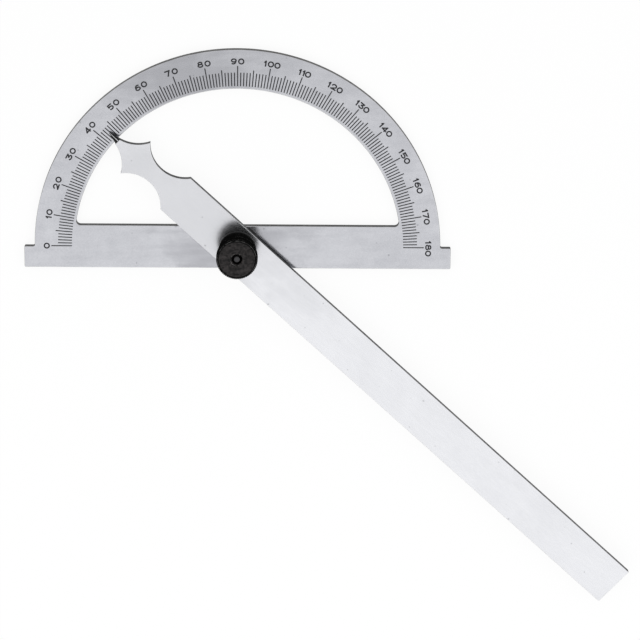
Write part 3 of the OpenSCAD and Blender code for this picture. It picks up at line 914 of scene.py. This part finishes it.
class ANGLEFINDER_OT_scale_fillings(bpy.types.Operator):
    """Fills the engraved lines and numbers of the scale"""
    bl_idname = "anglefinder.scale_fillings"
    bl_label = "Scale Fillings"

    def execute(self, context):
        dial, scale = settings_of(context, "dial"), settings_of(context, "scale")
        points, parts = dial_face(dial, scale)
        paint = filling_paint("black_filling_paint", scale.filling)
        low, high = plate_high.z - scale.depth, plate_high.z - scale.sink
        for name in ("degree_marks", "five_degree_marks", "ten_degree_marks", "numbers"):
            shell = Shell()
            shell.cap(points, parts[name], high)
            shell.cap(points, parts[name], low, up=False)
            shell.rim(points, parts[name], low, high)
            make_piece("filled_" + name, shell, [paint], "dial", [name])
        return {"FINISHED"}


# The arm

# How many straight runs draw the far end's corners, the deep hollows and the flanks of the point
END_RUNS, HOLLOW_RUNS, FLANK_RUNS = 4, 40, 24
# How far the bevelled point reaches back into the arm
POINT_OVERLAP = 0.1 * MM
# Width of the soft edges of the point, as a share of its half width
POINT_SOFTNESS = 0.06


def arm_loop(arm):
    """Outline of the arm as far as the root of its bevelled point, which lies along +X"""
    side, cusp_y, corner = arm.width / 2, arm.width / 2 - arm.cusp_inset, arm.end_corner
    flank_x, flank_y = arm.tip - arm.neck_back, arm.neck / 2 + arm.flank_radius
    cusp_x = flank_x - math.sqrt(arm.flank_radius ** 2 - (flank_y - cusp_y) ** 2)
    hollow_y = arm.waist / 2 + arm.hollow_radius
    hollow_x = cusp_x - math.sqrt(arm.hollow_radius ** 2 - (hollow_y - cusp_y) ** 2)
    mouth = math.degrees(math.asin((hollow_y - side) / arm.hollow_radius))
    cusp = math.degrees(math.atan2(hollow_y - cusp_y, cusp_x - hollow_x))
    flank = math.degrees(math.atan2(flank_y - cusp_y, cusp_x - flank_x))
    root = math.degrees(math.acos((arm.tip - arm.point_length - flank_x) / arm.flank_radius))
    right = joined(
        arc(-arm.reach + corner, -side + corner, corner, corner, 180, 270, END_RUNS),
        arc(hollow_x, -hollow_y, arm.hollow_radius, arm.hollow_radius, 180 - mouth, cusp, HOLLOW_RUNS),
        arc(flank_x, -flank_y, arm.flank_radius, arm.flank_radius, flank, root, FLANK_RUNS))
    return right + [flat(point.x, -point.y) for point in reversed(right)]


def arm_point(shell, arm):
    """The bevelled point, which slopes down to its tip, and on both sides of a narrow flat ridge"""
    thickness = arm_high.z - arm_low.z
    root, tip = arm.tip - arm.point_length, arm.tip
    slope = math.atan2(thickness - arm.point_step - arm.tip_thickness, arm.point_length)
    fall = math.tan(arm.ridge) / math.cos(slope)
    wide, high = arm.point_width / 2, thickness - arm.point_step
    rows = []
    for x, half, ridge in ((root - POINT_OVERLAP, wide, high), (root, wide, high),
                           (tip, arm.tip_width / 2, arm.tip_thickness)):
        side = ridge - fall * half
        soft = half * POINT_SOFTNESS
        crest = min(arm.crest, half) / 2
        middle = -arm.crest_shift * half / wide
        top = ridge - fall * (crest - middle)
        section = [(-half, 0), (half, 0), (half, side - soft), (half - soft, side), (middle + crest, top),
                   (middle - crest, top), (-half + soft, side), (-half, side - soft)]
        rows.append([shell.point(x, y, z) for y, z in section])
    # The bevel's two slopes and its soft edges take the dark wall finish: painted shade; the underside and
    # the ridge's flat keep the face finish
    under, crest_strip = 0, 4
    shell.grid(rows, lambda row, i: FACE if i in (under, crest_strip) else WALL)
    shell.face(rows[0][::-1])
    shell.face(rows[-1])


class ANGLEFINDER_OT_swing_arm(bpy.types.Operator):
    """Makes the arm, with its hollowed head and its bevelled point"""
    bl_idname = "anglefinder.swing_arm"
    bl_label = "Swing Arm"

    def execute(self, context):
        arm = settings_of(context, "arm")
        thickness = arm_high.z - arm_low.z
        shell = Shell()
        profile = edge_profile(thickness, arm.edge_radius)
        inset = arm.edge_radius + BAND
        outer, hole = arm_loop(arm), bore_loop(arm.bore)
        shell.sweep(outer, profile)
        shell.sweep(hole, profile)
        points, parts = split_face(drawn_in(outer, inset), [widened(hole, inset)])
        shell.cap(points, parts["face"], thickness)
        shell.cap(points, parts["face"], 0, up=False)
        arm_point(shell, arm)
        # Painted shade over the head, and side walls darker along the head: painted shade
        face = satin_steel("arm_steel_face", arm, stretch=6, cloud_size=16 * MM, streaks=0.3,
                           patches=[(arm.handled_at, 0, arm.handled_width)])
        wall = sawn_steel("arm_steel_wall", arm, axis="X", light_at=0, dark_at=arm.tip / 2)
        place = Matrix.Translation((0, 0, arm_low.z)) @ Matrix.Rotation(math.pi - arm.reading, 4, "Z")
        make_piece("arm_with_pointer", shell, [face, wall], "arm", ["swing_arm"], place)
        return {"FINISHED"}


# The stud, the washers and the nut

# Depth of the thread along one turn of it, as a share of the full depth
THREAD_SHAPE = [0, 0, 0.25, 0.6, 1, 1, 0.6, 0.25]
# Depth of the knurling from one tooth to the next, as a share of the full depth
TOOTH_SHAPE = [0, 0.15, 0.6, 1, 0.6, 0.15]
# Strips of each chamfer of the nut's head, so that the teeth run out on it in an even curve
CHAMFER_STRIPS = 5
# How many straight runs go once around the thread, the stud, the washers and the nut's collar
THREAD_RUNS, STUD_RUNS, WASHER_RUNS, COLLAR_RUNS = 40, 72, 120, 180


def stud_thread(shell, clamp, low, high):
    """Thread along the stud. The rows follow the helix, so its crest is an unbroken line"""
    rows_per_turn = len(THREAD_SHAPE)
    radius, pitch = clamp.thread / 2, clamp.thread_pitch
    rise = pitch / rows_per_turn
    count = int((high - low) / rise) + 2 * rows_per_turn

    def vertex(column, row):
        row += rows_per_turn * (column // THREAD_RUNS)
        column %= THREAD_RUNS
        depth = THREAD_SHAPE[row % rows_per_turn]
        z = min(max(low + rise * (row - rows_per_turn) + pitch * column / THREAD_RUNS, low), high)
        r = min(radius - clamp.thread_depth * depth, radius - clamp.stud_chamfer + high - z)
        a = 2 * math.pi * column / THREAD_RUNS
        return shell.point(r * math.cos(a), r * math.sin(a), z, 1 if depth == 0 else 0)

    for row in range(count):
        for column in range(THREAD_RUNS):
            shell.face([vertex(column, row), vertex(column + 1, row), vertex(column + 1, row + 1),
                        vertex(column, row + 1)])


class ANGLEFINDER_OT_pivot_stud(bpy.types.Operator):
    """Makes the stud, with its flush head, its shoulder and its thread"""
    bl_idname = "anglefinder.pivot_stud"
    bl_label = "Pivot Stud"

    def execute(self, context):
        clamp = settings_of(context, "clamp")
        top, end = arm_high.z - clamp.shoulder_drop, stud_high.z
        core = clamp.thread / 2 - clamp.thread_depth
        tip = clamp.thread / 2 - clamp.stud_chamfer
        dent, dent_floor, dent_mouth = 0.08 * MM, 0.5 * MM, 0.7 * MM
        overlap, tip_band = 0.1 * MM, 0.8
        shell = Shell()
        shell.lathe(rounded([
            (0, dent, 0), (dent_floor, dent, 0.2 * MM), (dent_mouth, 0, 0.1 * MM),
            (stud_high.x, 0, 0.15 * MM), (stud_high.x, clamp.head_thickness, 0),
            (clamp.shoulder / 2, clamp.head_thickness, 0), (clamp.shoulder / 2, top, 0.12 * MM),
            (core, top, 0), (core, top + overlap, 0)]), STUD_RUNS)
        stud_thread(shell, clamp, top - overlap, end)
        shell.lathe([(tip, end, 1), (tip * tip_band, end, 0), (0, end, 0)], THREAD_RUNS)
        make_piece("threaded_stud", shell, [turned_steel("stud_steel", clamp.stud)], "dial", ["pivot_stud"])
        return {"FINISHED"}


class ANGLEFINDER_OT_washers(bpy.types.Operator):
    """Makes the spacer between dial and arm, and the washer under the nut"""
    bl_idname = "anglefinder.washers"
    bl_label = "Washers"

    def execute(self, context):
        clamp = settings_of(context, "clamp")
        plastic = washer_plastic("washer_plastic", clamp.washer)
        for name, node, body, low, high, bore in (
                ("spacer_disc", "spacer_washer", "dial", spacer_low, spacer_high, clamp.spacer_bore),
                ("clamp_disc", "nut_washer", "clamp_washer", nut_washer_low, nut_washer_high,
                 clamp.washer_bore)):
            inner, outer = bore / 2, high.x
            middle = (inner + outer) / 2
            soft = (high.z - low.z) / 5
            shell = Shell()
            shell.lathe(rounded([
                (middle, low.z, 0), (outer, low.z, soft), (outer, high.z, soft), (inner, high.z, soft / 2),
                (inner, low.z, soft / 2), (middle, low.z, 0)]), WASHER_RUNS)
            make_piece(name, shell, [plastic], body, [node])
        return {"FINISHED"}


class ANGLEFINDER_OT_knurled_nut(bpy.types.Operator):
    """Makes the nut, with its collar, its groove and its knurled head"""
    bl_idname = "anglefinder.knurled_nut"
    bl_label = "Knurled Nut"

    def execute(self, context):
        clamp = settings_of(context, "clamp")
        low, high, radius = nut_low.z, nut_high.z, nut_high.x
        head = high - clamp.head_height
        collar, neck, bore = clamp.collar / 2, clamp.collar / 2 - clamp.groove_depth, clamp.nut_bore / 2
        sink = clamp.countersink / 2 - bore
        parts = len(TOOTH_SHAPE)
        steps = parts * round(2 * math.pi * radius / clamp.knurl_pitch)
        foot, chamfer, soft = clamp.foot_chamfer, clamp.head_chamfer, 0.06 * MM
        shell = Shell()
        shell.lathe(rounded([
            (bore, low, 0), (collar - foot, low, soft), (collar, low + foot, soft),
            (collar, head - clamp.groove, soft), (neck, head - clamp.groove, 0), (neck, head, 0)]),
            COLLAR_RUNS, finish=WALL)
        outline = rounded([
            (neck, head, 0), (radius - chamfer, head, soft), (radius, head + chamfer, soft),
            (radius, high - chamfer, soft), (radius - chamfer, high, soft),
            (radius - 2 * chamfer, high, 0)])
        fine = []
        for a, b in zip(outline, outline[1:]):
            strips = CHAMFER_STRIPS if 2 * soft < abs(a[1] - b[1]) < chamfer else 1
            fine += [tuple(u + (v - u) * k / strips for u, v in zip(a, b)) for k in range(strips)]
        shell.lathe(fine + [outline[-1]], steps,
                    lambda i: radius - clamp.knurl_depth * TOOTH_SHAPE[i % parts], finish=WALL)
        shell.lathe(rounded([
            (radius - 2 * chamfer, high, 0), (bore + sink, high, soft), (bore, high - sink, 0),
            (bore, low, 0)]), steps)
        face = black_metal("nut_black_face", clamp, clamp.brown, shine=0.12, roughness=0.36, patchy=0.8)
        sides = black_metal("nut_black_sides", clamp, clamp.side_film, shine=0.0, roughness=0.46,
                            patchy=0.9)
        make_piece("knurled_clamp_nut", shell, [face, sides], "nut", ["knurled_nut"])
        return {"FINISHED"}


# The stage

# Width of the camera's sensor, in the unit of its lens
SENSOR = 36
# Half the side of the floor, in metres, and how far it lies below the part
FLOOR_REACH, FLOOR_DROP = 4.0, 0.05 * MM
# Name, place, width and depth of each softbox in metres, and the setting of its level
SOFTBOXES = [("softbox", (0.1, -0.67, 0.55), 1.6, 1.176, "softbox"),
             ("left_softbox", (-0.2, -0.2, 0.55), 0.24, 0.5, "side_boxes"),
             ("right_softbox", (0.18, -0.05, 0.55), 0.24, 0.3, "side_boxes")]
# Sideways directions between which the low light changes, and heights between which the sky starts
# and the white horizon ends
LEFT_TO_RIGHT, SKY_STARTS, HORIZON_ENDS = (-0.8, 0.6), (0.1, 0.42), (0.06, 0.1)


def white_floor(stage):
    """Pale floor that keeps a soft shadow. The camera and the metal also see plain white in it"""
    material, tree, shader = new_material("floor_white", Base_Color=stage.floor, Roughness=0.9,
                                          Specular_IOR_Level=0)
    light_path = add(tree, "ShaderNodeLightPath").outputs
    seen = math_node(tree, "MAXIMUM", light_path["Is Camera Ray"], light_path["Is Glossy Ray"])
    seen = math_node(tree, "MAXIMUM", seen, light_path["Is Transmission Ray"])
    white = add(tree, "ShaderNodeEmission", {"Color": (1, 1, 1, 1), "Strength": 1.0}).outputs[0]
    both = add(tree, "ShaderNodeMixShader", {0: math_node(tree, "MULTIPLY", seen, stage.clear),
                                             1: shader.outputs[0], 2: white})
    tree.links.new(both.outputs[0], tree.nodes["Material Output"].inputs["Surface"])
    return material


def add_camera(stage):
    """Camera at the photograph's angle. The pivot's place in the view fixes where it stands"""
    turned = (Matrix.Rotation(stage.roll, 3, "Z") @ Matrix.Rotation(stage.tilt, 3, "X")
              @ Matrix.Rotation(stage.lean, 3, "Y"))
    width = SENSOR / stage.lens * stage.distance
    pivot = Vector((stage.across * width, stage.up * width, -stage.distance))
    back = turned.transposed()
    place = -(back @ pivot) + Vector((0, 0, plate_high.z))
    data = bpy.data.cameras.new("camera")
    data.sensor_width = SENSOR
    data.lens = stage.lens
    camera = add_object("camera", data)
    camera.matrix_world = Matrix.Translation(place) @ back.to_4x4()
    bpy.context.scene.camera = camera


def add_softbox(name, place, width, depth, radiance):
    """Softbox that faces straight down and isn't seen by the camera"""
    data = bpy.data.lights.new(name, "AREA")
    data.shape = "RECTANGLE"
    data.size, data.size_y = width, depth
    data.energy = radiance * math.pi * width * depth
    lamp = add_object(name, data)
    lamp.location = place
    lamp.visible_camera = False


def studio_world(stage):
    """Even light from above, which falls off low down, and most on the left. The horizon is white"""
    world = bpy.data.worlds.new("studio")
    world.use_nodes = True
    tree = world.node_tree
    direction = add(tree, "ShaderNodeTexCoord").outputs["Generated"]
    way = add(tree, "ShaderNodeSeparateXYZ", {0: direction}).outputs
    low = ranged(tree, way["X"], *LEFT_TO_RIGHT, stage.sky * stage.low_left, stage.sky * stage.low_right)
    high = ranged(tree, way["Z"], *SKY_STARTS)
    horizon = ranged(tree, way["Z"], *HORIZON_ENDS, 1, 0)
    above = add(tree, "ShaderNodeMix", {0: high, 2: low, 3: stage.sky}).outputs[0]
    whole = add(tree, "ShaderNodeMix", {0: horizon, 2: above, 3: 1.0}).outputs[0]
    feed(tree, tree.nodes["Background"], Color=whole)
    return world


class ANGLEFINDER_OT_stage(bpy.types.Operator):
    """Makes the floor, the light and the camera"""
    bl_idname = "anglefinder.stage"
    bl_label = "Stage"

    def execute(self, context):
        stage = settings_of(context, "stage")
        mesh = bpy.data.meshes.new("floor")
        mesh.from_pydata([(x * FLOOR_REACH, y * FLOOR_REACH, -FLOOR_DROP)
                          for x, y in ((-1, -1), (1, -1), (1, 1), (-1, 1))], [], [(0, 1, 2, 3)])
        mesh.materials.append(white_floor(stage))
        floor = add_object("floor", mesh)
        add_camera(stage)
        for name, place, width, depth, setting in SOFTBOXES:
            add_softbox(name, place, width, depth, getattr(stage, setting))
        context.scene.world = studio_world(stage)
        context.scene.view_settings.view_transform = "Standard"
        return {"FINISHED"}


class ANGLEFINDER_PT_sidebar(bpy.types.Panel):
    """Lists the settings and the steps that make the angle finder"""
    bl_idname = "ANGLEFINDER_PT_sidebar"
    bl_label = "Angle Finder"
    bl_space_type = "VIEW_3D"
    bl_region_type = "UI"
    bl_category = "Angle Finder"

    def draw(self, context):
        for operator in OPERATORS:
            self.layout.operator(operator.bl_idname)
        for part in SETTINGS:
            box = self.layout.box()
            box.label(text=part.capitalize())
            settings = settings_of(context, part)
            for name in settings.bl_rna.properties.keys():
                if name not in ("rna_type", "name"):
                    box.prop(settings, name)


SETTINGS = {"dial": DialSettings, "scale": ScaleSettings, "arm": ArmSettings, "clamp": ClampSettings,
            "stage": StageSettings}
OPERATORS = [ANGLEFINDER_OT_dial_plate, ANGLEFINDER_OT_scale_fillings, ANGLEFINDER_OT_pivot_stud,
             ANGLEFINDER_OT_washers, ANGLEFINDER_OT_swing_arm, ANGLEFINDER_OT_knurled_nut,
             ANGLEFINDER_OT_stage]


def register():
    for part, kind in SETTINGS.items():
        bpy.utils.register_class(kind)
        setattr(bpy.types.Scene, "angle_finder_" + part, bpy.props.PointerProperty(type=kind))
    for kind in [*OPERATORS, ANGLEFINDER_PT_sidebar]:
        bpy.utils.register_class(kind)


def unregister():
    for kind in [ANGLEFINDER_PT_sidebar, *reversed(OPERATORS)]:
        bpy.utils.unregister_class(kind)
    for part, kind in reversed(SETTINGS.items()):
        delattr(bpy.types.Scene, "angle_finder_" + part)
        bpy.utils.unregister_class(kind)


def main():
    register()
    bpy.ops.anglefinder.dial_plate()
    bpy.ops.anglefinder.scale_fillings()
    bpy.ops.anglefinder.pivot_stud()
    bpy.ops.anglefinder.washers()
    bpy.ops.anglefinder.swing_arm()
    bpy.ops.anglefinder.knurled_nut()
    bpy.ops.anglefinder.stage()


if __name__ == "__main__":
    main()
